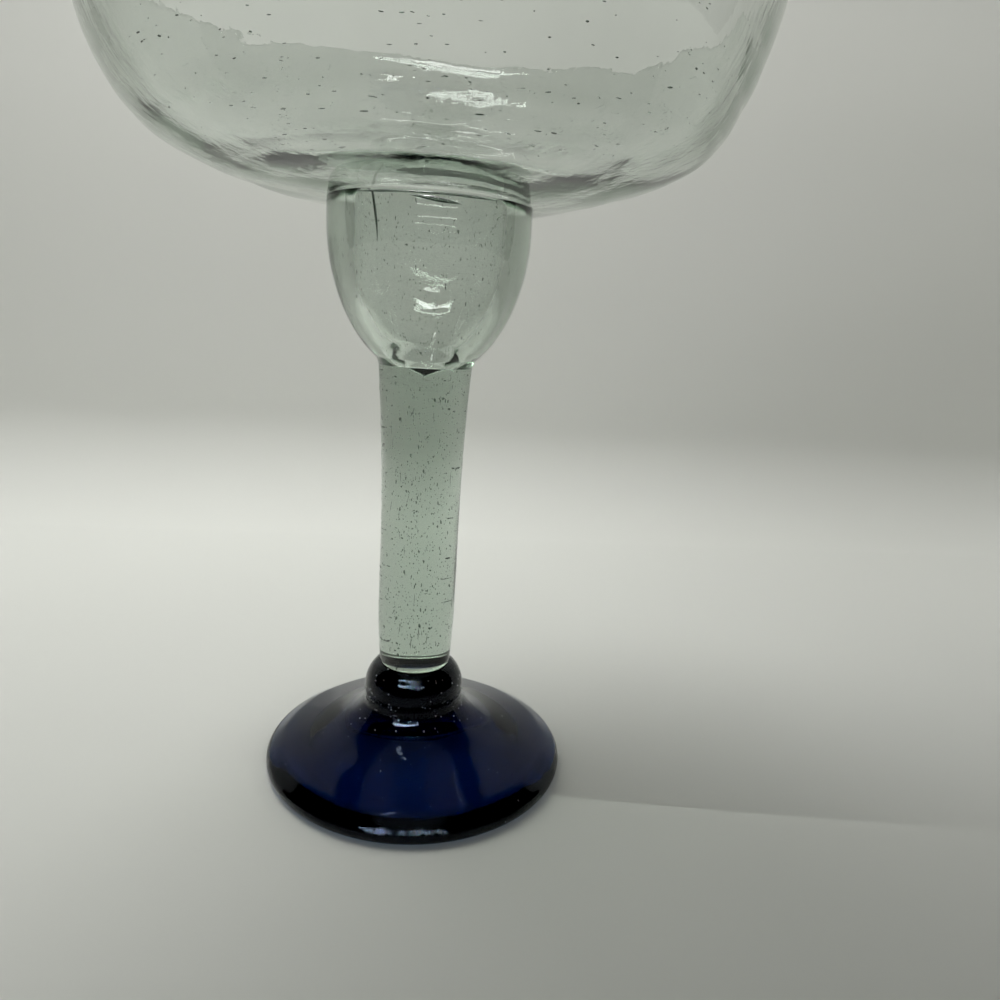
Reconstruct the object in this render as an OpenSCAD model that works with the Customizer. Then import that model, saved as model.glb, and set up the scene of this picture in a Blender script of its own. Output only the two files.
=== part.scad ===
/* [Foot] */
// Width across the round foot
foot_d = 76; // [70:0.5:90]
// How far the foot's disc lies off the axis of the stem
foot_shift = 1.1; // [0:0.1:2]
// Thickness of the foot's rounded edge
foot_edge_t = 4.4; // [3.4:0.1:5]
// How far inside the edge the foot's brow lies, where the steep rim turns into the flatter top
foot_brow_w = 4.4; // [3.6:0.1:6]
// Height of the foot's brow
foot_brow_h = 6; // [5.5:0.1:7.5]
// Width of the flat ring that the foot stands on
foot_ring_w = 8; // [4:0.1:10]
// Height of the foot, up to the knob
foot_h = 18; // [15:0.5:24]
// Width of the foot's neck, under the knob
foot_neck_d = 24.5; // [21:0.1:28]
// Depth of the hollow under the foot
foot_hollow_h = 8.2; // [5:0.1:10]

/* [Knob] */
// Width of the knob at its belly
knob_d = 25.1; // [24:0.1:30]
// Height of the knob
knob_h = 9.1; // [7:0.1:14]
// Depth of the knob's rounded side
knob_side_w = 5.7; // [4:0.1:7]

/* [Stem] */
// Width of the stem along its middle
stem_d = 19.1; // [16:0.1:22]
// Width of the stem where it meets the knob
stem_base_d = 17.8; // [15:0.1:19]
// Width of the stem where it meets the cup
stem_top_d = 21.9; // [19:0.1:26]
// Length of the stem, from the knob to the crease under the cup
stem_h = 74.8; // [50:0.5:110]
// Rounding of the stem's lower edge
stem_edge_r = 0.5; // [0.3:0.1:2]
// How deep the rounded end of the cup sinks into the stem
dish_h = 5.6; // [4:0.1:7]

/* [Cup] */
// Width of the small cup under the bowl
cup_d = 45.6; // [40:0.2:54]
// Height of the cup, from the stem's crease to the crease under the bowl
cup_h = 35.4; // [28:0.2:46]
// Height of the cup's straight upper band
cup_band_h = 5.2; // [3:0.1:9]
// Height of the little cove that leads from the stem into the cup
cup_cove_h = 1.4; // [0.8:0.1:2.5]
// Thickness of the cup's wall
cup_wall = 5.6; // [3:0.1:7]
// Thickness of the glass under the cup's pointed inside
cup_base_t = 3.6; // [2:0.1:4]
// Width of the rounding at the mouth of the cup
mouth_w = 6; // [3:0.1:8]
// Height of the rounding at the mouth of the cup
mouth_h = 7; // [4:0.1:9]

/* [Bowl] */
// Width of the bowl across its rim
bowl_d = 141; // [120:0.5:160]
// Height of the bowl, from the crease over the cup to the rim
bowl_h = 41.7; // [34:0.1:60]
// Thickness of the bowl's floor
floor_t = 3.6; // [2.6:0.1:5]
// Thickness of the bowl's wall under the rim
rim_t = 2.4; // [1.8:0.1:3]

/* [Hidden] */

// Steps of a full turn, of an arc and between two points of a smooth line
turn_steps = 144;
arc_steps = 10;
line_steps = 4;

// Radii
foot_r = foot_d / 2;
foot_edge_r = foot_edge_t / 2;
foot_neck_r = foot_neck_d / 2;
stem_r = stem_d / 2;
stem_base_r = stem_base_d / 2;
stem_top_r = stem_top_d / 2;
cup_r = cup_d / 2;
bowl_r = bowl_d / 2;
well_r = cup_r - cup_wall;
lip_r = rim_t / 2;

// Heights above the table
knob_z = foot_h;
stem_z = knob_z + knob_h;
cup_z = stem_z + stem_h;
bowl_z = cup_z + cup_h;
dish_z = cup_z - dish_h;
lip_z = bowl_z + bowl_h - lip_r;
floor_z = bowl_z + floor_t;
well_z = floor_z - mouth_h;
tip_z = dish_z + cup_base_t;

// The foot's edge is round up to this angle, where its steep rim begins
foot_edge_angle = 62;
// The foot's top, from its brow to its neck: share of the way inwards, share of the rise
foot_top_shares = [
    [0, 0], [0.26, 0.14], [0.59, 0.345], [0.76, 0.5], [0.86, 0.625],
    [0.93, 0.74], [0.98, 0.84], [0.995, 0.92], [1, 1]
];
// The hollow under the foot, from its flat ring to the middle
foot_hollow_shares = [
    [0, 0], [0.05, 0.04], [0.13, 0.17], [0.33, 0.49],
    [0.56, 0.77], [0.78, 0.94], [1, 1]
];
// How high the knob's belly lies, and the slope at which its side meets the stem
knob_belly_share = 0.25;
knob_top_angle = 69;
// The stem is even between these two shares of its length
stem_even_shares = [0.17, 0.28];
stem_base_curve = 1.4;
stem_top_curve = 2.6;
// The bowl's outside: share of the way out to the rim, share of the bowl's height
bowl_side_shares = [
    [0, 0], [0.28, 0.034], [0.42, 0.079], [0.55, 0.125], [0.72, 0.216], [0.81, 0.307],
    [0.87, 0.398], [0.94, 0.568], [0.973, 0.737], [0.992, 0.88], [1, 1]
];
// The cup's inside: share of the well's radius, share of its depth under the mouth
well_side_shares = [
    [1, 0], [0.99, 0.2], [0.94, 0.38], [0.83, 0.545], [0.65, 0.69], [0.45, 0.797],
    [0.31, 0.874], [0.26, 0.918], [0.19, 0.95], [0.1, 0.976], [0, 1]
];

// A smooth line through a list of points
function smooth_point(a, b, c, d, t) =
    (2 * b + (c - a) * t + (2 * a - 5 * b + 4 * c - d) * t * t + (3 * b - a - 3 * c + d) * t * t * t) / 2;
function smooth_line(pts) = [
    for (i = [0 : len(pts) - 2])
        for (k = [0 : line_steps - 1])
            smooth_point(pts[max(i - 1, 0)], pts[i], pts[i + 1], pts[min(i + 2, len(pts) - 1)], k / line_steps),
    pts[len(pts) - 1]
];

// A part of an ellipse round a centre, from one angle to another
function arc(centre, half_w, half_h, from, to) = [
    for (i = [0 : arc_steps])
        let (a = from + (to - from) * i / arc_steps)
            centre + [half_w * cos(a), half_h * sin(a)]
];

// Points between two corners of a box, where a table gives the shares
function spread(shares, low, high) = [
    for (s = shares) [low[0] + (high[0] - low[0]) * s[0], low[1] + (high[1] - low[1]) * s[1]]
];

// A line moved to its left by a wall whose thickness goes evenly from one value to another
function inset(pts, first_t, last_t) = [
    for (i = [0 : len(pts) - 1])
        let (along = pts[min(i + 1, len(pts) - 1)] - pts[max(i - 1, 0)])
            pts[i] + [-along[1], along[0]] / norm(along) * (first_t + (last_t - first_t) * i / (len(pts) - 1))
];

function reversed(pts) = [for (i = [len(pts) - 1 : -1 : 0]) pts[i]];

// The rounded end of the cup and the dish in the stem that holds it, from the axis outwards
dish_ball_r = (stem_top_r * stem_top_r + dish_h * dish_h) / (2 * dish_h);
dish_angle = asin(stem_top_r / dish_ball_r);
dish_line = [
    for (i = [0 : arc_steps])
        let (a = dish_angle * i / arc_steps)
            [dish_ball_r * sin(a), dish_z + dish_ball_r * (1 - cos(a))]
];

// The stem's radius at a share of its length
function stem_side_r(s) =
    s < stem_even_shares[0]
        ? stem_r - (stem_r - stem_base_r) * pow(1 - s / stem_even_shares[0], stem_base_curve)
        : s > stem_even_shares[1]
            ? stem_r + (stem_top_r - stem_r)
                * pow((s - stem_even_shares[1]) / (1 - stem_even_shares[1]), stem_top_curve)
            : stem_r;

// A round solid about the axis, from its half outline
module turned(outline) {
    rotate_extrude($fn = turn_steps) polygon(outline);
}

// The cobalt foot: a shallow cone with a steep rim on a flat ring, hollow underneath, with a neck
// for the knob
module foot() {
    edge_r_in = foot_r - foot_edge_r;
    ring_r_in = edge_r_in - foot_ring_w;
    edge = arc([edge_r_in, foot_edge_r], foot_edge_r, foot_edge_r, -90, foot_edge_angle);
    top = smooth_line(spread(foot_top_shares, [foot_r - foot_brow_w, foot_brow_h], [foot_neck_r, foot_h]));
    hollow = smooth_line(spread(foot_hollow_shares, [ring_r_in, 0], [0, foot_hollow_h]));
    color("#0b1f4d")
        translate([foot_shift, 0, 0])
            turned(concat(edge, top, [[0, foot_h]], reversed(hollow)));
}

// The cobalt knob: a bead with a rounded side, flat where it meets the foot and the stem
module knob() {
    belly_h = knob_h * knob_belly_share;
    side_h = (knob_h - belly_h) / sin(knob_top_angle);
    low_angle = asin(belly_h / side_h);
    side = arc([knob_d / 2 - knob_side_w, knob_z + belly_h], knob_side_w, side_h, -low_angle, knob_top_angle);
    color("#060d2b")
        turned(concat([[0, knob_z]], side, [[0, stem_z]]));
}

// The solid clear stem, with a rounded lower edge and a dish in its top for the cup
module stem() {
    edge = arc([stem_base_r - stem_edge_r, stem_z + stem_edge_r], stem_edge_r, stem_edge_r, -90, 0);
    edge_share = stem_edge_r / stem_h;
    steps = 3 * arc_steps;
    side = [
        for (i = [1 : steps])
            let (s = edge_share + (1 - edge_share) * i / steps) [stem_side_r(s), stem_z + stem_h * s]
    ];
    dish = [for (i = [arc_steps - 1 : -1 : 0]) dish_line[i]];
    color("#b9c7bd")
        turned(concat([[0, stem_z]], edge, side, dish));
}

// The blown clear bubble: a wide bowl over a small thick cup with a pointed inside
module bowl() {
    cove_w = cup_cove_h / 3;
    side_low = bowl_z - cup_band_h;
    side_angle = acos((stem_top_r + cove_w) / cup_r);
    side_h = (side_low - cup_z - cup_cove_h) / sin(side_angle);
    cup_side = arc([0, side_low], cup_r, side_h, -side_angle, 0);
    bowl_side = smooth_line(spread(bowl_side_shares, [cup_r, bowl_z], [bowl_r, lip_z]));
    lip = arc([bowl_r - lip_r, lip_z], lip_r, lip_r, 0, 180);
    mouth = arc([well_r + mouth_w, well_z], mouth_w, mouth_h, 90, 180);
    inside = [for (p = inset(bowl_side, floor_t, rim_t)) if (p[0] > well_r + mouth_w + lip_r && p[1] < lip_z - lip_r) p];
    well = smooth_line(spread(well_side_shares, [0, well_z], [well_r, tip_z]));
    color("#c3d0c8")
        turned(concat(dish_line, cup_side, bowl_side, lip, reversed(inside), mouth,
            [for (i = [1 : len(well) - 1]) well[i]]));
}

foot();
knob();
stem();
bowl();
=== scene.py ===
# %% [markdown]
# A hand-blown margarita glass.
#
# The glass has four pieces, made hot and fused: a clear bubble (the wide bowl with a small thick
# cup under it), a solid clear stem, a cobalt knob and a hollow cobalt foot. Each piece is turned
# from its half outline, as a glassmaker turns the work on the pipe. Its surface then gets the
# slight waves of hand work, and the small bubbles that makers call seeds are set into its wall.

# %% Load the frame
import bpy, bmesh, math, random
from mathutils import Matrix, Vector, noise


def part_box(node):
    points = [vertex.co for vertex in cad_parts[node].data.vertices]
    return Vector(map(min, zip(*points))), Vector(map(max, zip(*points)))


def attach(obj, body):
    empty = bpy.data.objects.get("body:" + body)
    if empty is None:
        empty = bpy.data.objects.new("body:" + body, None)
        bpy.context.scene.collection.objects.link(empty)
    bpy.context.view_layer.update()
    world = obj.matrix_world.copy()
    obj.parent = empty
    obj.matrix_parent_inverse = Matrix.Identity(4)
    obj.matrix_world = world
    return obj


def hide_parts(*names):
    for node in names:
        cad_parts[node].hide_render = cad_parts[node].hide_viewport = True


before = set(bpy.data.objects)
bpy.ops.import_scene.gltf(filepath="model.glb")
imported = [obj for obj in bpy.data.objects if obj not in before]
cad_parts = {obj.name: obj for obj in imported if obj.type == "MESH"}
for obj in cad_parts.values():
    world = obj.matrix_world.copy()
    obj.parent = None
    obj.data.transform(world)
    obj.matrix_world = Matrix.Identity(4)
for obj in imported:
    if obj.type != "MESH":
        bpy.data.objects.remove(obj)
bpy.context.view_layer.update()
MM = 0.001
print("nodes:", sorted(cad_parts))

# %% [markdown]
# The sizes of the pieces come from the frame, so that each one fills exactly the room that the
# construction gives it. Only what a box can't tell, such as a wall's thickness, is written here.

# %% Sizes from the frame
foot_low, foot_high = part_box("foot")
knob_low, knob_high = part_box("knob")
stem_low, stem_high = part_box("stem")
bowl_low, bowl_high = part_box("bowl")

foot_x = (foot_low.x + foot_high.x) / 2
foot_r = (foot_high.x - foot_low.x) / 2
foot_h = foot_high.z
foot_neck_r = 12.25 * MM
foot_edge_r = 2.2 * MM
foot_brow_w = 4.4 * MM
foot_brow_z = 6.0 * MM
foot_ring_w = 8.0 * MM
foot_hollow_h = 8.2 * MM

knob_r = (knob_high.x - knob_low.x) / 2
knob_h = knob_high.z - knob_low.z
knob_side_w = 5.7 * MM

stem_z = stem_low.z
stem_h = stem_high.z - stem_low.z
stem_top_r = (stem_high.x - stem_low.x) / 2
stem_r = 9.55 * MM
stem_base_r = 8.9 * MM
stem_edge_r = 0.5 * MM
weld_r = 5.0 * MM
weld_half = (7.7 * MM, 4.95 * MM)
weld_middle = (-0.3 * MM, 1.45 * MM)

cup_z = stem_high.z
cup_r = 22.8 * MM
cup_h = 35.4 * MM
cup_band_h = 5.2 * MM
cup_cove_h = 1.4 * MM
cup_wall = 5.6 * MM
cup_base_t = 3.6 * MM
mouth_w = 6.0 * MM
mouth_h = 7.0 * MM

bowl_r = (bowl_high.x - bowl_low.x) / 2
bowl_z = cup_z + cup_h
floor_t = 3.6 * MM
rim_t = 2.4 * MM
lip_r = rim_t / 2
lip_z = bowl_high.z - lip_r

dish_z = bowl_low.z
dish_h = cup_z - dish_z
well_r = cup_r - cup_wall
well_z = bowl_z + floor_t - mouth_h
tip_z = dish_z + cup_base_t
print("stem", round(stem_h / MM, 1), "mm long, bowl", round(2 * bowl_r / MM, 1), "mm across")

# %% [markdown]
# The camera stands where the photographer stood: close in front, a little above the foot and
# below the bowl, with a wide phone lens. It looks slightly down and is not quite level. The
# camera comes first, because what it sees decides how much detail each piece needs.

# %% Camera
camera_back = 179.8 * MM
camera_up = 114.3 * MM
look_down = math.radians(13.76)
look_right = math.radians(5.86)
tilt = math.radians(3.58)
sensor_w = 36.0
focal_share = 0.751
nearest_seen = 5 * MM


def put_in_scene(name, data):
    """A new object at the origin, in the scene."""
    thing = bpy.data.objects.new(name, data)
    bpy.context.scene.collection.objects.link(thing)
    return thing


camera_data = bpy.data.cameras.new("photo_camera")
camera_data.sensor_width = sensor_w
camera_data.lens = sensor_w * focal_share
camera_data.clip_start = nearest_seen
camera = put_in_scene("photo_camera", camera_data)
aim = (
    Matrix.Rotation(-look_right, 4, "Z")
    @ Matrix.Rotation(math.pi / 2 - look_down, 4, "X")
    @ Matrix.Rotation(tilt, 4, "Z")
)
camera.matrix_world = Matrix.Translation((foot_x, -camera_back, camera_up)) @ aim
bpy.context.scene.camera = camera
print("camera lens", round(camera_data.lens, 2), "mm")

# %% [markdown]
# An outline is a list of points, each a distance from the axis and a height. Straight runs need
# only their ends, round runs are arcs of an ellipse, and free runs are smooth lines through a
# few chosen points. The tables give those points as shares, so they follow the sizes above.

# %% Outline helpers
def arc(centre, half_w, half_h, start, end, steps):
    """Points along part of an ellipse, from one angle in degrees to another."""
    turns = [math.radians(start + (end - start) * i / steps) for i in range(steps + 1)]
    return [(centre[0] + half_w * math.cos(a), centre[1] + half_h * math.sin(a)) for a in turns]


def smooth_line(points, steps):
    """A smooth line through every point of a list."""
    pts = [Vector(p) for p in points]
    line = []
    for i in range(len(pts) - 1):
        a, b = pts[max(i - 1, 0)], pts[i]
        c, d = pts[i + 1], pts[min(i + 2, len(pts) - 1)]
        for k in range(steps):
            t = k / steps
            bend = (2 * a - 5 * b + 4 * c - d) * t**2
            twist = (3 * b - a - 3 * c + d) * t**3
            line.append(tuple((2 * b + (c - a) * t + bend + twist) / 2))
    return line + [tuple(pts[-1])]


def spread(shares, low, high):
    """Points between two corners of a box, where a table gives the shares."""
    return [(low[0] + (high[0] - low[0]) * u, low[1] + (high[1] - low[1]) * v) for u, v in shares]


def inset(points, first_t, last_t):
    """A line moved to its left by a wall that goes evenly from one thickness to another."""
    moved = []
    last = len(points) - 1
    for i, p in enumerate(points):
        along = Vector(points[min(i + 1, last)]) - Vector(points[max(i - 1, 0)])
        side = Vector((-along.y, along.x)).normalized()
        moved.append(tuple(Vector(p) + side * (first_t + (last_t - first_t) * i / last)))
    return moved


quarter = arc((0, 0), 1, 1, 0, 90, steps=3)
print("a quarter turn in 3 steps:", [(round(r, 2), round(z, 2)) for r, z in quarter])

# %% [markdown]
# Turning is the job of the Screw modifier: it takes a line of points once round the Z axis, and
# the last copy merges with the first. Where two pieces are fused, their end faces are marked,
# because no eye can see a surface inside fused glass. The mark is an attribute that the glass
# finish reads to let light pass there. A gap as thin as a hair keeps the two end faces apart.
# Knob and stem are fused in an oval only. Round it the gap turns light back, which shows as a
# bright crescent at the foot of the stem.

# %% Turn an outline
hair = 0.01 * MM
merge_d = 0.0005 * MM
crease_angle = math.radians(38)


def turned(outline, joints, steps, centre_x=0.0):
    """A bmesh of the outline turned once round. joints are the numbers of its fused points."""
    line = bpy.data.meshes.new("outline")
    pairs = [(i, i + 1) for i in range(len(outline) - 1)]
    line.from_pydata([(r, 0, z) for r, z in outline], pairs, [])
    fused = line.attributes.new("fused_point", "INT", "POINT")
    for i in joints:
        fused.data[i].value = 1
    lathe = put_in_scene("lathe", line)
    turn = lathe.modifiers.new("turn", "SCREW")
    turn.axis = "Z"
    turn.steps = turn.render_steps = steps
    turn.use_merge_vertices = True
    turn.merge_threshold = merge_d
    bm = bmesh.new()
    bm.from_object(lathe, bpy.context.evaluated_depsgraph_get())
    bpy.data.objects.remove(lathe)
    bpy.data.meshes.remove(line)
    bmesh.ops.translate(bm, verts=bm.verts, vec=(centre_x, 0, 0))
    bmesh.ops.recalc_face_normals(bm, faces=bm.faces)
    for e in bm.edges:
        if e.calc_face_angle() > crease_angle:
            e.smooth = False
    return bm


print("an edge over", round(math.degrees(crease_angle)), "degrees stays sharp")

# %% [markdown]
# No hand-made surface is exact. Slow waves bend what is seen through the glass, and quick ones
# break up its highlights. Turning on the pipe also leaves rings, as on a potter's wheel. Each
# point moves a little along its normal, by noise that is the same on every run. The waves fade
# out near joints, the rim and the ring that the foot stands on, so that the piece stays inside
# the room that the construction gives it.

# %% Waves of hand work
wave_offset = 17.3
wave_place = (5.1, 9.7)
ring_offset = 7.1


def waved(bm, waves, stretch, rings, calm, centre_x=0.0):
    """Moves each point along its normal by waves and by rings round the axis.

    Both are lists of (length, height) pairs. stretch below 1 draws the waves out upwards, and
    calm gives each point's share of the movement, from 0 to 1.
    """
    fused = bm.verts.layers.int["fused_point"]
    bm.normal_update()
    moves = []
    for v in bm.verts:
        x, y, z = v.co.x - centre_x, v.co.y, v.co.z
        r = math.hypot(x, y)
        round_x, round_y = (x / r, y / r) if r > 0 else (0, 0)
        push = 0.0
        for i, (length, height) in enumerate(waves):
            spot = Vector((x, y, z * stretch)) / length + Vector((wave_offset * i, *wave_place))
            push += height * noise.noise(spot)
        for i, (length, height) in enumerate(rings):
            spot = Vector(((r + z) / length, round_x + ring_offset * i, round_y))
            push += height * noise.noise(spot)
        moves.append(v.normal * push * (0.0 if v[fused] else calm(v.co)))
    for v, move in zip(bm.verts, moves):
        v.co += move


def set_weld(bm, z):
    """Draws the round weld between knob and stem out to the oval that the hand left."""
    fused = bm.verts.layers.int["fused_point"]
    for v in bm.verts:
        on_face = v[fused] and abs(v.co.z - z) < 2 * hair
        if on_face and abs(math.hypot(v.co.x, v.co.y) - weld_r) < hair:
            v.co.x = weld_middle[0] + weld_half[0] * v.co.x / weld_r
            v.co.y = weld_middle[1] + weld_half[1] * v.co.y / weld_r


def ramp(value, low, high):
    """0 below low, 1 above high and even between them."""
    return min(max((value - low) / (high - low), 0.0), 1.0)


print("weld of knob and stem:", [round(2 * w / MM, 1) for w in weld_half], "mm")

# %% [markdown]
# Seeds are small voids in the wall. One that broke through the surface would be a pit, so each
# is placed only where the outline holds it with room to spare. That takes two measures: whether
# a point lies in the glass at all, and how far it is from the surface.

# %% Room in the glass
def is_inside(outline, r, z):
    """True if a point of the half plane lies inside the outline, which ends on the axis."""
    inside = False
    ring = outline + [outline[0]]
    for (r0, z0), (r1, z1) in zip(ring, ring[1:]):
        if (z0 > z) != (z1 > z) and r < r0 + (r1 - r0) * (z - z0) / (z1 - z0):
            inside = not inside
    return inside


def room(outline, r, z):
    """The distance from a point to the nearest stretch of the outline."""
    nearest = 1.0
    spot = Vector((r, z))
    for a, b in zip(outline, outline[1:]):
        a, b = Vector(a), Vector(b)
        along = b - a
        if along.length_squared > 0:
            share = min(max((spot - a).dot(along) / along.length_squared, 0), 1)
            nearest = min(nearest, (spot - a - along * share).length)
    return nearest


square = [(0, 0), (1, 0), (1, 1), (0, 1)]
print("in a square:", is_inside(square, 0.5, 0.7), round(room(square, 0.5, 0.7), 2))

# %% [markdown]
# Seeds are stretched the way the hot glass was drawn: upright in the stem and cup, round the axis
# in the bowl. Each is a coarse ball, turned inside out because its outside is the glass. Grains
# of grit that never melted are made in the same way.

# %% Seeds
skin = 0.15 * MM
any_depth = 100 * MM
seed_lean = 0.12


def seeds(outline, groups, rng, centre_x=0.0, finish_number=0, least_skin=skin):
    """A mesh of inside-out balls in the glass that an outline holds.

    Each group gives a count, two corners of the half plane, the greatest depth under the
    surface, the least and greatest width and length, and the way its seeds are drawn out: "up"
    the piece or "round" its axis.
    """
    ball = bmesh.new()
    bmesh.ops.create_icosphere(ball, subdivisions=1, radius=1)
    bmesh.ops.reverse_faces(ball, faces=ball.faces)
    ball_points = [v.co.copy() for v in ball.verts]
    ball_faces = [[v.index for v in f.verts] for f in ball.faces]
    ball.free()
    points, faces = [], []
    for count, low, high, deepest, width, length, drawn in groups:
        placed = 0
        while placed < count:
            r = math.sqrt(rng.uniform(low[0] ** 2, high[0] ** 2))
            z = rng.uniform(low[1], high[1])
            half_w = rng.uniform(*width) / 2
            half_l = rng.uniform(*length) / 2
            turn = rng.uniform(0, math.tau)
            lean = rng.gauss(0, seed_lean)
            depth = room(outline, r, z) if is_inside(outline, r, z) else 0
            if depth < half_w * 2 + least_skin or depth > deepest:
                continue
            size = (half_w, half_w, half_l) if drawn == "up" else (half_w, half_l, half_w)
            place = (
                Matrix.Translation((centre_x, 0, 0))
                @ Matrix.Rotation(turn, 4, "Z")
                @ Matrix.Translation((r, 0, z))
                @ Matrix.Rotation(lean, 4, "X")
                @ Matrix.Diagonal((*size, 1))
            )
            first = len(points)
            points += [place @ p for p in ball_points]
            faces += [[first + i for i in f] for f in ball_faces]
            placed += 1
    mesh = bpy.data.meshes.new("seeds")
    mesh.from_pydata(points, [], faces)
    mesh.shade_smooth()
    mesh.polygons.foreach_set("material_index", [finish_number] * len(faces))
    return mesh


print("glass left over every seed:", round(skin / MM, 2), "mm")

# %% [markdown]
# A finished piece is one mesh: the turned body, its seeds, and two marks that the glass finish
# reads. One says which faces are fused to the next piece, the other tells body from seeds. Where
# a piece has grit, that is in the same mesh too, with a finish of its own.

# %% Make a piece
def mesh_of(bm, name):
    """A mesh that takes the place of a finished bmesh."""
    mesh = bpy.data.meshes.new(name)
    bm.to_mesh(mesh)
    bm.free()
    return mesh


def make_piece(name, body, inside_meshes, finishes, node_name):
    """Joins the body and what is in its glass in one object, for a node of the frame."""
    fused = body.verts.layers.int["fused_point"]
    body_mark = body.faces.layers.float.new("body")
    joint_mark = body.faces.layers.float.new("fused")
    for f in body.faces:
        f[body_mark] = 1.0
        f[joint_mark] = float(all(v[fused] for v in f.verts))
    body.verts.layers.int.remove(fused)
    for inside in inside_meshes:
        body.from_mesh(inside)
        bpy.data.meshes.remove(inside)
    mesh = mesh_of(body, name)
    for finish in finishes:
        mesh.materials.append(finish)
    piece = put_in_scene(name, mesh)
    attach(piece, "root")
    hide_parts(node_name)
    print(name, len(mesh.polygons), "faces")


# %% [markdown]
# A material is a tree of nodes. Two helpers keep the trees below short: one adds a node and sets
# what it does, the other adds a noise texture that reads given coordinates.

# %% Node helpers
def add_node(tree, kind, **settings):
    """A new shader node of a kind, with its settings."""
    node = tree.nodes.new("ShaderNode" + kind)
    for key, value in settings.items():
        setattr(node, key, value)
    return node


def add_noise(tree, vector, scale, detail, distortion=0.0):
    """The output of a noise texture. Its scale is a number or the output of another node."""
    texture = add_node(tree, "TexNoise")
    texture.inputs["Detail"].default_value = detail
    texture.inputs["Distortion"].default_value = distortion
    tree.links.new(vector, texture.inputs["Vector"])
    if isinstance(scale, float):
        texture.inputs["Scale"].default_value = scale
    else:
        tree.links.new(scale, texture.inputs["Scale"])
    return texture.outputs["Fac"]


print("helpers:", add_node.__name__, "and", add_noise.__name__)

# %% [markdown]
# Recycled glass is never quite clean. Fine cords of slightly different glass run through it and
# show as ripples, and turning leaves rings. Cords are noise that is stretched upwards. Rings are
# noise that is read by distance from the axis and by height only, and so is the same all round,
# but for a slight drift.

# %% Cords and rings
ring_drift = 0.08


def cords_in(group, scale, stretch, place):
    """Noise that is stretched along the Z axis."""
    link = group.links.new
    squeeze = add_node(group, "CombineXYZ")
    squeeze.inputs["X"].default_value = 1.0
    squeeze.inputs["Y"].default_value = 1.0
    link(stretch, squeeze.inputs["Z"])
    drawn = add_node(group, "VectorMath", operation="MULTIPLY")
    link(place, drawn.inputs[0])
    link(squeeze.outputs[0], drawn.inputs[1])
    return add_noise(group, drawn.outputs[0], scale, detail=2, distortion=0.6)


def rings_in(group, scale, place):
    """Noise by the distance from the Z axis and the height."""
    link = group.links.new
    level = add_node(group, "VectorMath", operation="MULTIPLY")
    level.inputs[1].default_value = (1, 1, 0)
    link(place, level.inputs[0])
    radius = add_node(group, "VectorMath", operation="LENGTH")
    link(level.outputs[0], radius.inputs[0])
    parts = add_node(group, "SeparateXYZ")
    link(place, parts.inputs[0])
    half_plane = add_node(group, "CombineXYZ")
    link(radius.outputs["Value"], half_plane.inputs["X"])
    link(parts.outputs["Z"], half_plane.inputs["Y"])
    drift = add_node(group, "VectorMath", operation="MULTIPLY_ADD")
    drift.inputs[1].default_value = (ring_drift, ring_drift, 0)
    link(place, drift.inputs[0])
    link(half_plane.outputs[0], drift.inputs[2])
    return add_noise(group, drift.outputs[0], scale, detail=2, distortion=0.4)


print("rings drift by", ring_drift, "of the way across")

# %% [markdown]
# Both finishes have cords, rings, dimples and the faint film that stays on a wiped surface, so
# these are one node group. It takes their scales and shares, and gives out a height for the
# bump, a film for the roughness and a shade for the colour.

# %% Group for ripples and film
film_scale = 60.0
film_range = (0.5, 0.75)


def ripple_group():
    """A node group of cords, rings, dimples and an uneven film."""
    group = bpy.data.node_groups.new("glass_ripples", "ShaderNodeTree")
    face = group.interface
    for label, default in (
        ("Cord Scale", 250.0), ("Upright Stretch", 0.1), ("Ring Scale", 300.0),
        ("Ring Share", 0.5), ("Dimple Scale", 700.0), ("Dimple Share", 0.12),
    ):
        socket = face.new_socket(label, in_out="INPUT", socket_type="NodeSocketFloat")
        socket.default_value = default
    for label in ("Height", "Film", "Shade"):
        face.new_socket(label, in_out="OUTPUT", socket_type="NodeSocketFloat")
    link = group.links.new
    given = group.nodes.new("NodeGroupInput").outputs
    sink = group.nodes.new("NodeGroupOutput")
    place = add_node(group, "TexCoord").outputs["Object"]
    cords = cords_in(group, given["Cord Scale"], given["Upright Stretch"], place)
    rings = rings_in(group, given["Ring Scale"], place)

    both = add_node(group, "Mix", data_type="FLOAT")
    link(given["Ring Share"], both.inputs["Factor"])
    link(cords, both.inputs["A"])
    link(rings, both.inputs["B"])
    dimples = add_noise(group, place, given["Dimple Scale"], detail=1)
    height = add_node(group, "Math", operation="MULTIPLY_ADD")
    link(dimples, height.inputs[0])
    link(given["Dimple Share"], height.inputs[1])
    link(both.outputs["Result"], height.inputs[2])
    link(height.outputs[0], sink.inputs["Height"])

    film = add_node(group, "MapRange")
    film.inputs["From Min"].default_value, film.inputs["From Max"].default_value = film_range
    link(add_noise(group, place, film_scale, detail=4), film.inputs["Value"])
    link(film.outputs["Result"], sink.inputs["Film"])
    link(cords, sink.inputs["Shade"])
    return group


ripples = ripple_group()
print("group", ripples.name, "with", len(ripples.nodes), "nodes")

# %% [markdown]
# Two marks on the mesh tell the finish what a face belongs to. Seeds get a painted shade, a darker
# surface colour that stands for the light each scatters away. Fused faces get no alpha, so nothing
# shows where pieces join.
# The lamps' own light passes the other faces in part or whole, because a path that bends through
# glass on its way to a lamp is too rare for a renderer to find.

# %% Seeds and fused faces
cord_shade = 0.965


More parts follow.
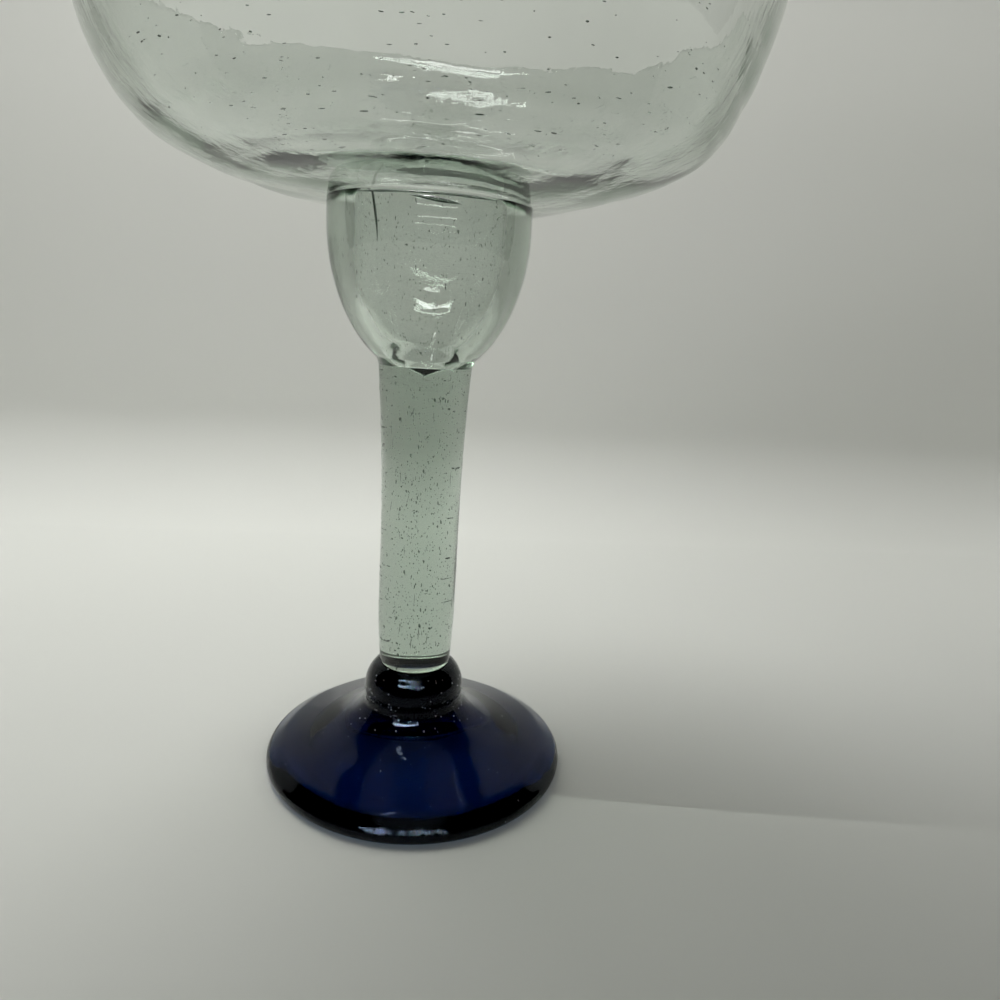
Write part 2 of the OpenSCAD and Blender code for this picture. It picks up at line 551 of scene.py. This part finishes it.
def colour_surface(tree, surface, tint, seed_painted_shade):
    """The surface colour: the tint, a little darker along cords, or the seeds' painted shade."""
    link = tree.links.new
    shades = add_node(tree, "Mix", data_type="RGBA")
    shades.inputs["A"].default_value = (*tint, 1)
    shades.inputs["B"].default_value = (*[c * cord_shade for c in tint], 1)
    link(surface.outputs["Shade"], shades.inputs["Factor"])
    body_mark = add_node(tree, "Attribute", attribute_name="body")
    with_seeds = add_node(tree, "Mix", data_type="RGBA")
    # The seeds get a painted shade: a darker colour for the light that each scatters away.
    with_seeds.inputs["A"].default_value = (*seed_painted_shade, 1)
    link(body_mark.outputs["Fac"], with_seeds.inputs["Factor"])
    link(shades.outputs["Result"], with_seeds.inputs["B"])
    return with_seeds.outputs["Result"]


def solid_share(tree, open_to_light):
    """The alpha: 0 on fused faces, lowered for lamp light elsewhere, and otherwise 1."""
    link = tree.links.new
    joint_mark = add_node(tree, "Attribute", attribute_name="fused")
    ray = add_node(tree, "LightPath")
    let_through = add_node(tree, "Math", operation="MULTIPLY")
    let_through.inputs[1].default_value = open_to_light
    link(ray.outputs["Is Shadow Ray"], let_through.inputs[0])
    open_face = add_node(tree, "Math", operation="MAXIMUM")
    link(joint_mark.outputs["Fac"], open_face.inputs[0])
    link(let_through.outputs[0], open_face.inputs[1])
    solid = add_node(tree, "Math", operation="SUBTRACT")
    solid.inputs[0].default_value = 1.0
    link(open_face.outputs[0], solid.inputs[1])
    return solid.outputs[0]


print("cords darken the surface to", cord_shade)

# %% [markdown]
# The glass itself is a Principled shader with full transmission, and its colour comes from the
# depth of glass that light crosses, as in the real thing: a thin wall looks clear and the thick
# stem looks grey-green. That is a plain Volume Absorption.

# %% Glass finish
glass_ior = 1.52


def glass_finish(
    name, tint, seed_painted_shade, glint, absorb, density, ripple, bump_mm, gloss, open_to_light,
):
    """A glass material. absorb and density set the colour in depth, tint that of the surface.

    glint is the colour of what the surface mirrors when it is seen straight on. open_to_light
    is the share of lamp light that each surface lets through to the cloth.
    """
    material = bpy.data.materials.new(name)
    material.use_nodes = True
    tree = material.node_tree
    link = tree.links.new
    shader, out = tree.nodes["Principled BSDF"], tree.nodes["Material Output"]
    shader.inputs["IOR"].default_value = glass_ior
    shader.inputs["Transmission Weight"].default_value = 1.0
    shader.inputs["Specular Tint"].default_value = (*glint, 1)

    surface = add_node(tree, "Group", node_tree=ripples)
    for label, value in ripple.items():
        surface.inputs[label].default_value = value
    link(colour_surface(tree, surface, tint, seed_painted_shade), shader.inputs["Base Color"])

    polish = add_node(tree, "MapRange")
    polish.inputs["To Min"].default_value, polish.inputs["To Max"].default_value = gloss
    link(surface.outputs["Film"], polish.inputs["Value"])
    link(polish.outputs["Result"], shader.inputs["Roughness"])

    bump = add_node(tree, "Bump")
    bump.inputs["Strength"].default_value = 1.0
    bump.inputs["Distance"].default_value = bump_mm * MM
    link(surface.outputs["Height"], bump.inputs["Height"])
    link(bump.outputs["Normal"], shader.inputs["Normal"])
    link(solid_share(tree, open_to_light), shader.inputs["Alpha"])

    depth = add_node(tree, "VolumeAbsorption")
    depth.inputs["Color"].default_value = (*absorb, 1)
    depth.inputs["Density"].default_value = density
    link(depth.outputs[0], out.inputs["Volume"])
    return material


print("glass finish with an IOR of", glass_ior)

# %% [markdown]
# The clear glass is a recycled one with a faint grey-green in its depth. The cobalt is so strong
# that a few millimetres of it are a deep blue and the knob looks almost black. Its surface
# mirrors less when seen straight on, so that its darkness stays dark, and it holds back part of
# the lamp light, which gives it a shadow.

# %% The two glasses
# The seeds' darker colours below are a painted shade, not a colour of the glass.
clear_glass = glass_finish(
    "clear_recycled_glass", tint=(0.985, 0.995, 0.985), seed_painted_shade=(0.22, 0.26, 0.23),
    glint=(1.0, 1.0, 1.0), absorb=(0.71, 0.77, 0.72), density=130,
    ripple={"Cord Scale": 260.0, "Upright Stretch": 0.10, "Ring Scale": 240.0, "Ring Share": 0.4,
            "Dimple Scale": 700.0, "Dimple Share": 0.10},
    bump_mm=0.06, gloss=(0.0, 0.012), open_to_light=1.0,
)
cobalt_glass = glass_finish(
    "cobalt_glass", tint=(0.90, 0.95, 1.0), seed_painted_shade=(0.8, 0.85, 0.95),
    glint=(0.17, 0.21, 0.30), absorb=(0.01, 0.40, 0.67), density=535,
    ripple={"Cord Scale": 110.0, "Upright Stretch": 1.0, "Ring Scale": 420.0, "Ring Share": 0.6,
            "Dimple Scale": 900.0, "Dimple Share": 0.10},
    bump_mm=0.02, gloss=(0.0, 0.006), open_to_light=0.5,
)
print("finishes:", clear_glass.name, "and", cobalt_glass.name)

# %% [markdown]
# Grit is pale sand and furnace dust, caught just under the surface of the cobalt, where it still
# shows. Each grain is far smaller than a pinhead and glitters like mica, so two greys and a half
# rough metal are enough.

# %% Grit
grit_w = (0.16 * MM, 0.40 * MM)
grit_depth = 0.45 * MM
grit_skin = 0.02 * MM
grit_roughness = 0.5
grit_metal = 0.8
grit_greys = ((0.85, 0.86, 0.88, 1), (0.95, 0.95, 0.92, 1))
speckle_scale = 2500.0

grit_finish = bpy.data.materials.new("pale_grit")
grit_finish.use_nodes = True
grain = grit_finish.node_tree.nodes["Principled BSDF"]
grain.inputs["Roughness"].default_value = grit_roughness
grain.inputs["Metallic"].default_value = grit_metal
speckle = add_node(grit_finish.node_tree, "TexNoise")
speckle.inputs["Scale"].default_value = speckle_scale
grey = add_node(grit_finish.node_tree, "Mix", data_type="RGBA")
grey.inputs["A"].default_value, grey.inputs["B"].default_value = grit_greys
grit_finish.node_tree.links.new(speckle.outputs["Fac"], grey.inputs["Factor"])
grit_finish.node_tree.links.new(grey.outputs["Result"], grain.inputs["Base Color"])
print("grit", [round(w / MM, 2) for w in grit_w], "mm across")

# %% [markdown]
# The foot was pressed from a gather on a flat plate. Its edge is a full round, it stands on a
# broad flat ring, and it is hollow inside that ring, so that it stands firm and the rough mark
# under its middle can't scratch a table. Its outline goes from the middle of the hollow down to
# the ring, round the edge and up to the neck.

# %% Outline of the foot
foot_top_shares = [
    (0, 0), (0.26, 0.14), (0.59, 0.345), (0.76, 0.5), (0.86, 0.625),
    (0.93, 0.74), (0.98, 0.84), (0.995, 0.92), (1, 1),
]
foot_hollow_shares = [
    (0, 0), (0.05, 0.04), (0.13, 0.17), (0.33, 0.49), (0.56, 0.77), (0.78, 0.94), (1, 1),
]
foot_edge_end = 62
edge_in = foot_r - foot_edge_r
ring_in = edge_in - foot_ring_w
foot_edge = arc((edge_in, foot_edge_r), foot_edge_r, foot_edge_r, -90, foot_edge_end, steps=16)
foot_brow = (foot_r - foot_brow_w, foot_brow_z)
foot_neck = (foot_neck_r, foot_h - hair)
foot_top = smooth_line(spread(foot_top_shares, foot_brow, foot_neck), steps=8)
foot_hollow = smooth_line(spread(foot_hollow_shares, (ring_in, 0), (0, foot_hollow_h)), steps=8)
foot_bevel = spread([(0.3, 0.3), (0.65, 0.65)], foot_edge[-1], foot_brow)
foot_outline = foot_hollow[::-1] + foot_edge + foot_bevel + foot_top + [(0, foot_h - hair)]
foot_joint = {len(foot_outline) - 2, len(foot_outline) - 1}
print("foot outline:", len(foot_outline), "points, hollow", round(2 * ring_in / MM, 1), "mm wide")

# %% [markdown]
# The foot's disc lies slightly off the stem's axis, as the hand left it, and the neck leans back
# by as much, so that it meets the knob squarely. Body, seeds and grit are therefore made round
# the disc's own axis, and then lean together.

# %% Foot
foot_waves = [(11 * MM, 0.16 * MM), (4.5 * MM, 0.015 * MM)]
foot_rings = [(3.5 * MM, 0.015 * MM)]
foot_edge_fade = (0.1 * MM, 1.5 * MM)
foot_ring_fade = (0.4 * MM, 2.5 * MM)
foot_neck_fade = (0.2 * MM, 2 * MM)


def foot_calm(p):
    """The foot's waves fade towards its ring, its outermost edge and its neck."""
    r = math.hypot(p.x - foot_x, p.y)
    near_edge = ramp(foot_r - r, *foot_edge_fade)
    return near_edge * ramp(p.z, *foot_ring_fade) * ramp(foot_h - p.z, *foot_neck_fade)


foot_rng = random.Random(3)
foot_body = turned(foot_outline, foot_joint, steps=200, centre_x=foot_x)
waved(foot_body, foot_waves, 1.0, foot_rings, foot_calm, foot_x)
foot_seed_w = (0.12 * MM, 0.30 * MM)
foot_seed_l, neck_seed_l = (0.2 * MM, 0.8 * MM), (0.12 * MM, 0.4 * MM)
disc_low, disc_high = (2 * MM, 1 * MM), (foot_r, foot_h * 0.6)
cone_low, cone_high = (4 * MM, 11 * MM), (foot_neck_r, foot_h)
foot_seeds = seeds(foot_outline, [
    (90, disc_low, disc_high, any_depth, foot_seed_w, foot_seed_l, "round"),
    (110, cone_low, cone_high, any_depth, foot_seed_w, neck_seed_l, "up"),
], foot_rng, foot_x)
near_neck = (foot_neck_r - 1 * MM, foot_h * 0.72)
foot_grit = seeds(foot_outline, [
    (35, near_neck, (foot_neck_r + 3 * MM, foot_h), grit_depth, grit_w, grit_w, "up"),
    (60, (foot_neck_r, 1 * MM), (foot_r, foot_h), grit_depth, grit_w, grit_w, "up"),
], foot_rng, foot_x, finish_number=1, least_skin=grit_skin)
for points in (foot_body.verts, foot_seeds.vertices, foot_grit.vertices):
    for v in points:
        v.co.x -= foot_x * ramp(v.co.z, 0, foot_h)
cobalt_finishes = [cobalt_glass, grit_finish]
foot_insides = [foot_seeds, foot_grit]
make_piece("cobalt_foot", foot_body, foot_insides, cobalt_finishes, "foot")

# %% [markdown]
# The knob is a bead of cobalt laid on the end of the stem. Its side is one round swell, widest
# low down, and drawn in towards the stem above. So much blue glass in one lump looks almost
# black.

# %% Outline of the knob
knob_belly_share = 0.25
knob_top_angle = 69
knob_belly_h = knob_h * knob_belly_share
knob_side_h = (knob_h - knob_belly_h) / math.sin(math.radians(knob_top_angle))
knob_low_angle = math.degrees(math.asin(knob_belly_h / knob_side_h))
knob_belly = (knob_r - knob_side_w, knob_low.z + knob_belly_h)
knob_foot_z, knob_top_z = knob_low.z + hair, knob_high.z - hair
knob_arc = arc(knob_belly, knob_side_w, knob_side_h, -knob_low_angle, knob_top_angle, steps=26)
knob_side = [(r, min(max(z, knob_foot_z), knob_top_z)) for r, z in knob_arc]
knob_outline = [(0, knob_foot_z)] + knob_side + [(weld_r, knob_top_z), (0, knob_top_z)]
knob_joint = {0, 1, len(knob_outline) - 2, len(knob_outline) - 1}
print("knob outline:", len(knob_outline), "points,", round(knob_h / MM, 1), "mm high")

# %% [markdown]
# The knob gets the most seeds for its size, nearly all of them round, and grains of grit all over
# its side, which show as pale specks in the dark glass. Its waves are the weakest, so that its
# highlights stay thin lines.

# %% Knob
knob_waves = [(9 * MM, 0.10 * MM), (3.5 * MM, 0.012 * MM)]
knob_rings = [(2.5 * MM, 0.01 * MM)]
knob_joint_fade = (0.1 * MM, 1.5 * MM)
knob_belly_fade = (0.02 * MM, 0.3 * MM)


def knob_calm(p):
    """The knob's waves fade towards its two joints and its widest line."""
    from_joint = min(p.z - knob_low.z, knob_high.z - p.z)
    from_belly = knob_r - math.hypot(p.x, p.y)
    return ramp(from_joint, *knob_joint_fade) * ramp(from_belly, *knob_belly_fade)


knob_rng = random.Random(8)
knob_body = turned(knob_outline, knob_joint, steps=144)
set_weld(knob_body, knob_high.z)
waved(knob_body, knob_waves, 1.0, knob_rings, knob_calm)
knob_core, knob_top = (6 * MM, knob_low.z), (knob_r, knob_high.z)
knob_seed_w, knob_seed_l = (0.12 * MM, 0.26 * MM), (0.12 * MM, 0.3 * MM)
knob_seeds = seeds(knob_outline, [
    (420, knob_core, knob_top, any_depth, knob_seed_w, knob_seed_l, "up"),
], knob_rng)
knob_grit = seeds(knob_outline, [
    (85, (knob_r - knob_side_w, knob_low.z), knob_top, grit_depth, grit_w, grit_w, "up"),
], knob_rng, finish_number=1, least_skin=grit_skin)
knob_insides = [knob_seeds, knob_grit]
make_piece("cobalt_knob", knob_body, knob_insides, cobalt_finishes, "knob")

# %% [markdown]
# The stem was drawn from a solid gather, so it is even along the middle, narrows a little above
# the knob and widens into the cup. Its top is a shallow dish that holds the round end of the
# bubble. The same ball gives the dish and that end, so they fit.

# %% Outline of the stem
ball_r = (stem_top_r**2 + dish_h**2) / (2 * dish_h)
ball_angle = math.degrees(math.asin(stem_top_r / ball_r))
dish_line = arc((0, dish_z + ball_r), ball_r, ball_r, -90, -90 + ball_angle, steps=16)
stem_even_low, stem_even_high = 0.17, 0.28
stem_base_curve, stem_top_curve = 1.4, 2.6


def stem_side_r(share):
    """The stem's radius at a share of its length."""
    if share < stem_even_low:
        return stem_r - (stem_r - stem_base_r) * (1 - share / stem_even_low) ** stem_base_curve
    if share > stem_even_high:
        rise = (share - stem_even_high) / (1 - stem_even_high)
        return stem_r + (stem_top_r - stem_r) * rise**stem_top_curve
    return stem_r


stem_steps = 90
stem_edge_middle = (stem_base_r - stem_edge_r, stem_z + hair + stem_edge_r)
stem_edge = arc(stem_edge_middle, stem_edge_r, stem_edge_r, -90, 0, steps=8)
edge_share = (stem_edge_r + hair) / stem_h
stem_side = []
for i in range(1, stem_steps + 1):
    share = edge_share + (1 - edge_share) * i / stem_steps
    stem_side.append((stem_side_r(share), stem_z + stem_h * share))
stem_dish = [(r, z - hair) for r, z in dish_line[::-1]]
stem_foot = [(0, stem_z + hair), (weld_r, stem_z + hair)]
stem_outline = stem_foot + stem_edge + stem_side[:-1] + stem_dish
first_dish = len(stem_outline) - len(stem_dish)
stem_joint = {0, 1} | set(range(first_dish, len(stem_outline)))
print("stem outline:", len(stem_outline), "points, ball", round(2 * ball_r / MM, 1), "mm across")

# %% [markdown]
# The stem is as thick as a finger, so hundreds of seeds lie behind one another in it. Most are
# tiny and slightly long, some are larger, and a few were drawn out to upright threads. Its waves
# are long and drawn out upwards too.

# %% Stem
stem_waves = [(13 * MM, 0.22 * MM), (5 * MM, 0.04 * MM)]
stem_rings = [(6 * MM, 0.03 * MM)]
stem_stretch = 0.35
stem_base_fade = (0.5 * MM, 4 * MM)
stem_top_fade = (0.3 * MM, 3 * MM)


def stem_calm(p):
    """The stem's waves fade towards both of its joints."""
    return ramp(p.z - stem_z, *stem_base_fade) * ramp(cup_z - p.z, *stem_top_fade)


stem_rng = random.Random(21)
stem_body = turned(stem_outline, stem_joint, steps=144)
set_weld(stem_body, stem_z)
waved(stem_body, stem_waves, stem_stretch, stem_rings, stem_calm)
stem_axis, stem_top = (0, stem_z), (stem_top_r, cup_z)
stem_seeds = seeds(stem_outline, [
    (1500, stem_axis, stem_top, any_depth, (0.08 * MM, 0.18 * MM), (0.12 * MM, 0.6 * MM), "up"),
    (160, stem_axis, stem_top, any_depth, (0.16 * MM, 0.28 * MM), (0.3 * MM, 1.3 * MM), "up"),
    (25, stem_axis, stem_top, any_depth, (0.10 * MM, 0.14 * MM), (2.0 * MM, 4.0 * MM), "up"),
], stem_rng)
make_piece("clear_stem", stem_body, [stem_seeds], [clear_glass], "stem")

# %% [markdown]
# The bubble is one wall of glass. Its lower part, in the mould's well, stayed thick and became
# the cup, whose inside runs down to a point. Its upper part was opened out to the wide bowl. The
# outline goes up the outside, over the round lip and down the inside to that point.

# %% Outline of the bowl and cup
bowl_side_shares = [
    (0, 0), (0.28, 0.034), (0.42, 0.079), (0.55, 0.125), (0.72, 0.216), (0.81, 0.307),
    (0.87, 0.398), (0.94, 0.568), (0.973, 0.737), (0.992, 0.88), (1, 1),
]
well_side_shares = [
    (1, 0), (0.99, 0.2), (0.94, 0.38), (0.83, 0.545), (0.65, 0.69), (0.45, 0.797),
    (0.31, 0.874), (0.26, 0.918), (0.19, 0.95), (0.1, 0.976), (0, 1),
]
cove_w = cup_cove_h / 3
band_low = bowl_z - cup_band_h
cup_side_angle = math.degrees(math.acos((stem_top_r + cove_w) / cup_r))
cup_side_h = (band_low - cup_z - cup_cove_h) / math.sin(math.radians(cup_side_angle))
cup_side = arc((0, band_low), cup_r, cup_side_h, -cup_side_angle, 0, steps=40)
bowl_side = smooth_line(spread(bowl_side_shares, (cup_r, bowl_z), (bowl_r, lip_z)), steps=7)
lip = arc((bowl_r - lip_r, lip_z), lip_r, lip_r, 0, 180, steps=12)
mouth = arc((well_r + mouth_w, well_z), mouth_w, mouth_h, 90, 180, steps=14)
inside_line = [
    p for p in inset(bowl_side, floor_t, rim_t)
    if p[0] > well_r + mouth_w + lip_r and p[1] < lip_z - lip_r
]
well = smooth_line(spread(well_side_shares, (0, well_z), (well_r, tip_z)), steps=6)
dish_end = [(r, z + hair) for r, z in dish_line]
band_steps = 4
band = [(cup_r, band_low + cup_band_h * i / band_steps) for i in range(1, band_steps)]
bowl_outside = dish_end + cup_side + band + bowl_side
bowl_outline = bowl_outside + lip[1:] + inside_line[::-1] + mouth + well[1:]
bowl_joint = set(range(len(dish_end)))
print("bowl outline:", len(bowl_outline), "points")

# %% [markdown]
# The hand left the bowl's right side a little higher and narrower than its left. That can't be
# turned, so the finished wall and its seeds are lifted and drawn in there, and less and less so
# towards the rim, which is level.

# %% Bowl and cup
hand_lift = 1.4 * MM
hand_pull = 1.2 * MM
lift_fade, pull_fade = (20 * MM, 36 * MM), (30 * MM, 55 * MM)
pull_heights = (bowl_z + 10.7 * MM, bowl_z + 18.7 * MM)
level_fade = (2 * MM, 16 * MM)
bowl_waves = [(17 * MM, 0.20 * MM), (6 * MM, 0.04 * MM)]
bowl_rings = [(9 * MM, 0.10 * MM), (3 * MM, 0.03 * MM)]
bowl_stretch = 0.5
bowl_joint_fade = (0.3 * MM, 3 * MM)
bowl_lip_fade = (4 * MM, 14 * MM)


def bowl_calm(p):
    """The bubble's waves fade towards the stem and the lip."""
    return ramp(p.z - cup_z, *bowl_joint_fade) * ramp(bowl_high.z - p.z, *bowl_lip_fade)


def hand_set(p):
    """How far a point of the bowl lies off its turned place, on the right side only."""
    below_rim = ramp(bowl_high.z - p.z, *level_fade)
    lift = hand_lift * ramp(p.x, *lift_fade) * below_rim
    on_side = ramp(p.x, *pull_fade) * ramp(p.z, *pull_heights)
    return Vector((-hand_pull * on_side * below_rim, 0, lift))


bowl_rng = random.Random(5)
bowl_body = turned(bowl_outline, bowl_joint, steps=256)
waved(bowl_body, bowl_waves, bowl_stretch, bowl_rings, bowl_calm)
cup_axis, cup_top, bowl_top = (0, dish_z), (cup_r, bowl_z), (bowl_r, lip_z)
bowl_seeds = seeds(bowl_outline, [
    (1200, cup_axis, cup_top, any_depth, (0.08 * MM, 0.17 * MM), (0.12 * MM, 0.6 * MM), "up"),
    (130, cup_axis, cup_top, any_depth, (0.16 * MM, 0.28 * MM), (0.3 * MM, 1.1 * MM), "up"),
    (1100, cup_top, bowl_top, any_depth, (0.10 * MM, 0.24 * MM), (0.2 * MM, 0.9 * MM), "round"),
    (260, cup_top, bowl_top, any_depth, (0.20 * MM, 0.42 * MM), (0.4 * MM, 1.6 * MM), "round"),
], bowl_rng)
for points in (bowl_body.verts, bowl_seeds.vertices):
    for v in points:
        v.co += hand_set(v.co)
print("bowl:", len(bowl_body.verts), "points, and its seeds", len(bowl_seeds.vertices))

# %% [markdown]
# Where the cup was pinched from the bowl, the hot skin folded over threads of air. One runs down
# the front of the cup as a thin dark line, one lies along the crease and a short thick one just
# under it. A thread is a ring of six points, carried along a smooth path just under the skin and
# drawn to a point at both ends. Its faces look inwards, as those of the seeds do, because the
# air is inside it.

# %% Threads of air in the cup
thread_sides = 6
cup_thread_stops = [
    (0.9 * MM, [
        (-35.0, 0.0, 0.06), (-32.0, 0.4, 0.38), (-31.0, 1.3, 0.50), (-30.0, 3.1, 0.54),
        (-29.0, 5.3, 0.50), (-28.2, 7.5, 0.36), (-28.0, 10.1, 0.06),
    ]),
    (1.6 * MM, [
        (-44.0, 0.4, 0.06), (-36.0, 0.4, 0.34), (-27.0, 0.4, 0.58), (-15.0, 0.45, 0.40),
        (0.0, 0.45, 0.44), (14.0, 0.4, 0.54), (24.0, 0.4, 0.58), (38.0, 0.4, 0.06),
    ]),
    (1.1 * MM, [
        (-11.0, 1.1, 0.06), (-4.0, 1.3, 0.70), (3.0, 1.55, 1.10), (9.0, 1.8, 0.80),
        (16.0, 2.1, 0.06),
    ]),
]


def air_thread(depth, stops):
    """A mesh of a thread of air at a depth under the cup's side.

    Each stop gives the turn round the cup in degrees, the drop below the crease in mm and the
    width in mm.
    """
    path = []
    r = cup_r - depth
    for turn, drop, width in smooth_line(stops, steps=4):
        a = math.radians(turn)
        place = Vector((r * math.sin(a), -r * math.cos(a), bowl_z - drop * MM))
        path.append((place, width * MM / 2))
    thread = bmesh.new()
    last_edges = []
    for i, (place, radius) in enumerate(path):
        along = path[min(i + 1, len(path) - 1)][0] - path[max(i - 1, 0)][0]
        stand = Matrix.Translation(place) @ along.to_track_quat("Z", "X").to_matrix().to_4x4()
        ring = bmesh.ops.create_circle(thread, segments=thread_sides, radius=radius, matrix=stand)
        edges = list({e for v in ring["verts"] for e in v.link_edges})
        if last_edges:
            bmesh.ops.bridge_loops(thread, edges=last_edges + edges)
        last_edges = edges
    bmesh.ops.holes_fill(thread, edges=thread.edges)
    bmesh.ops.recalc_face_normals(thread, faces=thread.faces)
    bmesh.ops.reverse_faces(thread, faces=thread.faces)
    for f in thread.faces:
        f.smooth = True
    return mesh_of(thread, "air_thread")


cup_threads = [air_thread(*thread) for thread in cup_thread_stops]
print("threads of air:", [len(m.polygons) for m in cup_threads], "faces")

# %% [markdown]
# The real bubble is one piece of glass, so its wall, its seeds and the threads of air become one
# mesh with one finish.

# %% Put the bowl together
bowl_insides = [bowl_seeds, *cup_threads]
make_piece("clear_bowl", bowl_body, bowl_insides, [clear_glass], "bowl")

# %% [markdown]
# The set is a pale cloth that lies on the table and rises in one soft curve behind the glass. It
# is plain, because glass shows everything round it. The curve is one profile, swept sideways,
# and its faces are shaded smooth, so that no line shows where floor turns into wall.

# %% Floor and backdrop
def plain_finish(name, colour, roughness):
    """A dull material of one colour."""
    material = bpy.data.materials.new(name)
    material.use_nodes = True
    shader = material.node_tree.nodes["Principled BSDF"]
    shader.inputs["Base Color"].default_value = (*colour, 1)
    shader.inputs["Roughness"].default_value = roughness
    return material


floor_half_w = 1400 * MM
floor_front = -1200 * MM
curve_start = 200 * MM
curve_r = 65 * MM
wall_top = 900 * MM
wall_lean = 200 * MM
floor_drop = 0.1 * MM
curve_turns = [math.radians(turn) for turn in range(0, 81, 5)]
cloth_colour = (0.62, 0.63, 0.59)
dull = 0.95

cove = bmesh.new()
curve_line = [
    (curve_start + curve_r * math.sin(a), curve_r * (1 - math.cos(a)) - floor_drop)
    for a in curve_turns
]
wall_line = [(curve_line[-1][0] + wall_lean, wall_top)]
cove_line = [(floor_front, -floor_drop)] + curve_line + wall_line
left = [cove.verts.new((-floor_half_w, y, z)) for y, z in cove_line]
rail = [cove.edges.new(pair) for pair in zip(left, left[1:])]
swept = bmesh.ops.extrude_edge_only(cove, edges=rail)
moved = [v for v in swept["geom"] if isinstance(v, bmesh.types.BMVert)]
bmesh.ops.translate(cove, verts=moved, vec=(2 * floor_half_w, 0, 0))
bmesh.ops.recalc_face_normals(cove, faces=cove.faces)
for f in cove.faces:
    f.smooth = True
cove_mesh = mesh_of(cove, "pale_cove")
cove_mesh.materials.append(plain_finish("pale_cloth", cloth_colour, dull))
backdrop = put_in_scene("pale_cove", cove_mesh)
print("cloth:", len(cove_mesh.polygons), "faces,", round(2 * floor_half_w, 1), "m wide")

# %% [markdown]
# Two kinds of lamp light the set. The cloth lamps are broad and soft and aren't seen in the glass.
# They light the cloth under and behind it, the top of the wall and the cloth far to both sides,
# which is what shows in the thick walls of the cup. The three tubes show in the glass only: two
# in front of it and one nearly overhead put thin bright lines on the upper side of each swell.

# %% Lamps
def lamp(name, place, target, width, depth, power, beam, lights):
    """A rectangular lamp that faces a point. It lights the cloth, or shows in the glass.

    Places and sizes are in metres, the power is in watts and the beam's spread in degrees.
    """
    data = bpy.data.lights.new(name, "AREA")
    data.shape = "RECTANGLE"
    data.size, data.size_y = width, depth
    data.energy = power
    data.spread = math.radians(beam)
    holder = put_in_scene(name, data)
    holder.location = place
    holder.rotation_euler = (Vector(target) - Vector(place)).to_track_quat("-Z", "Y").to_euler()
    holder.visible_diffuse = lights == "cloth"
    holder.visible_glossy = holder.visible_transmission = lights == "glass"


cloth_lamps = [
    ("floor_lamp", (-0.20, 0.22, 0.80), (-0.06, 0.15, 0), 0.45, 0.35, 0.92, 80),
    ("backdrop_lamp", (0.06, -0.12, 0.70), (0.06, 0.32, 0.20), 0.60, 0.30, 0.16, 60),
    ("high_lamp", (0.0, -0.10, 1.05), (0.0, 0.42, 0.66), 1.00, 0.30, 0.6, 50),
    ("left_lamp", (-1.10, 0.25, 0.60), (-0.90, 0.15, 0), 1.20, 1.20, 3.0, 110),
    ("right_lamp", (1.00, 0.25, 0.60), (0.80, 0.15, 0), 1.20, 1.20, 3.5, 110),
]
glass_lamps = [
    ("upper_tube", (-0.10, -0.50, 0.75), (0, 0, 0.05), 0.80, 0.060, 10.0, 180),
    ("lower_tube", (-0.10, -0.68, 0.48), (0, 0, 0.05), 0.95, 0.060, 12.0, 180),
    ("ceiling_tube", (-0.10, 0.06, 1.00), (0, 0, 0.02), 0.30, 0.06, 0.5, 180),
]
for row in cloth_lamps:
    lamp(*row, "cloth")
for row in glass_lamps:
    lamp(*row, "glass")
print(len(cloth_lamps), "lamps for the cloth and", len(glass_lamps), "for the glass")

# %% [markdown]
# In the photo the cloth is darker in front of the glass and to its lower right. A black flag, as
# photographers call a board that holds light off, hangs level over the front and shades the cloth
# there. Its back edge runs slantwise above the glass. Neither the camera nor a ray that the glass
# mirrors or bends can see it.

# %% Flag over the front
flag_z = 300 * MM
flag_half_w = 400 * MM
flag_front = -450 * MM
flag_back_left, flag_back_right = -131 * MM, 171 * MM
felt_colour = (0.02, 0.02, 0.02)

cut = bmesh.new()
corners = [
    (-flag_half_w, flag_back_left), (flag_half_w, flag_back_right),
    (flag_half_w, flag_front), (-flag_half_w, flag_front),
]
cut.faces.new([cut.verts.new((x, y, flag_z)) for x, y in corners])
flag_mesh = mesh_of(cut, "flag")
flag_mesh.materials.append(plain_finish("black_felt", felt_colour, dull))
flag = put_in_scene("flag", flag_mesh)
flag.visible_camera = flag.visible_glossy = flag.visible_transmission = False
print("flag", round(2 * flag_half_w / MM), "mm wide,", round(flag_z / MM), "mm up")

# %% [markdown]
# The room gives a dim, even light, a little weaker overhead. Mirrored rays don't see it, which
# keeps the cobalt deep and leaves the highlights to the tubes. Light crosses many walls of glass,
# so the renderer is allowed many bounces.

# %% Room
low_height, low_strength = 0.15, 0.45
top_height, top_strength = 0.80, 0.32
room_colour = (1.0, 1.0, 0.96)

room_light = bpy.data.worlds.new("room")
bpy.context.scene.world = room_light
room_light.use_nodes = True
room_tree = room_light.node_tree
room_link = room_tree.links.new
glow = room_tree.nodes["Background"]
way = add_node(room_tree, "TexCoord")
height = add_node(room_tree, "SeparateXYZ")
fade = add_node(room_tree, "MapRange", interpolation_type="SMOOTHSTEP")
fade.inputs["From Min"].default_value = low_height
fade.inputs["From Max"].default_value = top_height
fade.inputs["To Min"].default_value = low_strength
fade.inputs["To Max"].default_value = top_strength
room_link(way.outputs["Generated"], height.inputs[0])
room_link(height.outputs["Z"], fade.inputs["Value"])
room_link(fade.outputs["Result"], glow.inputs["Strength"])
glow.inputs["Color"].default_value = (*room_colour, 1)
room_light.cycles_visibility.glossy = False

scene = bpy.context.scene
scene.view_settings.view_transform = "Standard"
scene.cycles.max_bounces = 32
scene.cycles.transmission_bounces = 28
scene.cycles.glossy_bounces = 12
scene.cycles.transparent_max_bounces = 32
print("room light", low_strength, "to", top_strength, "with", scene.cycles.max_bounces, "bounces")
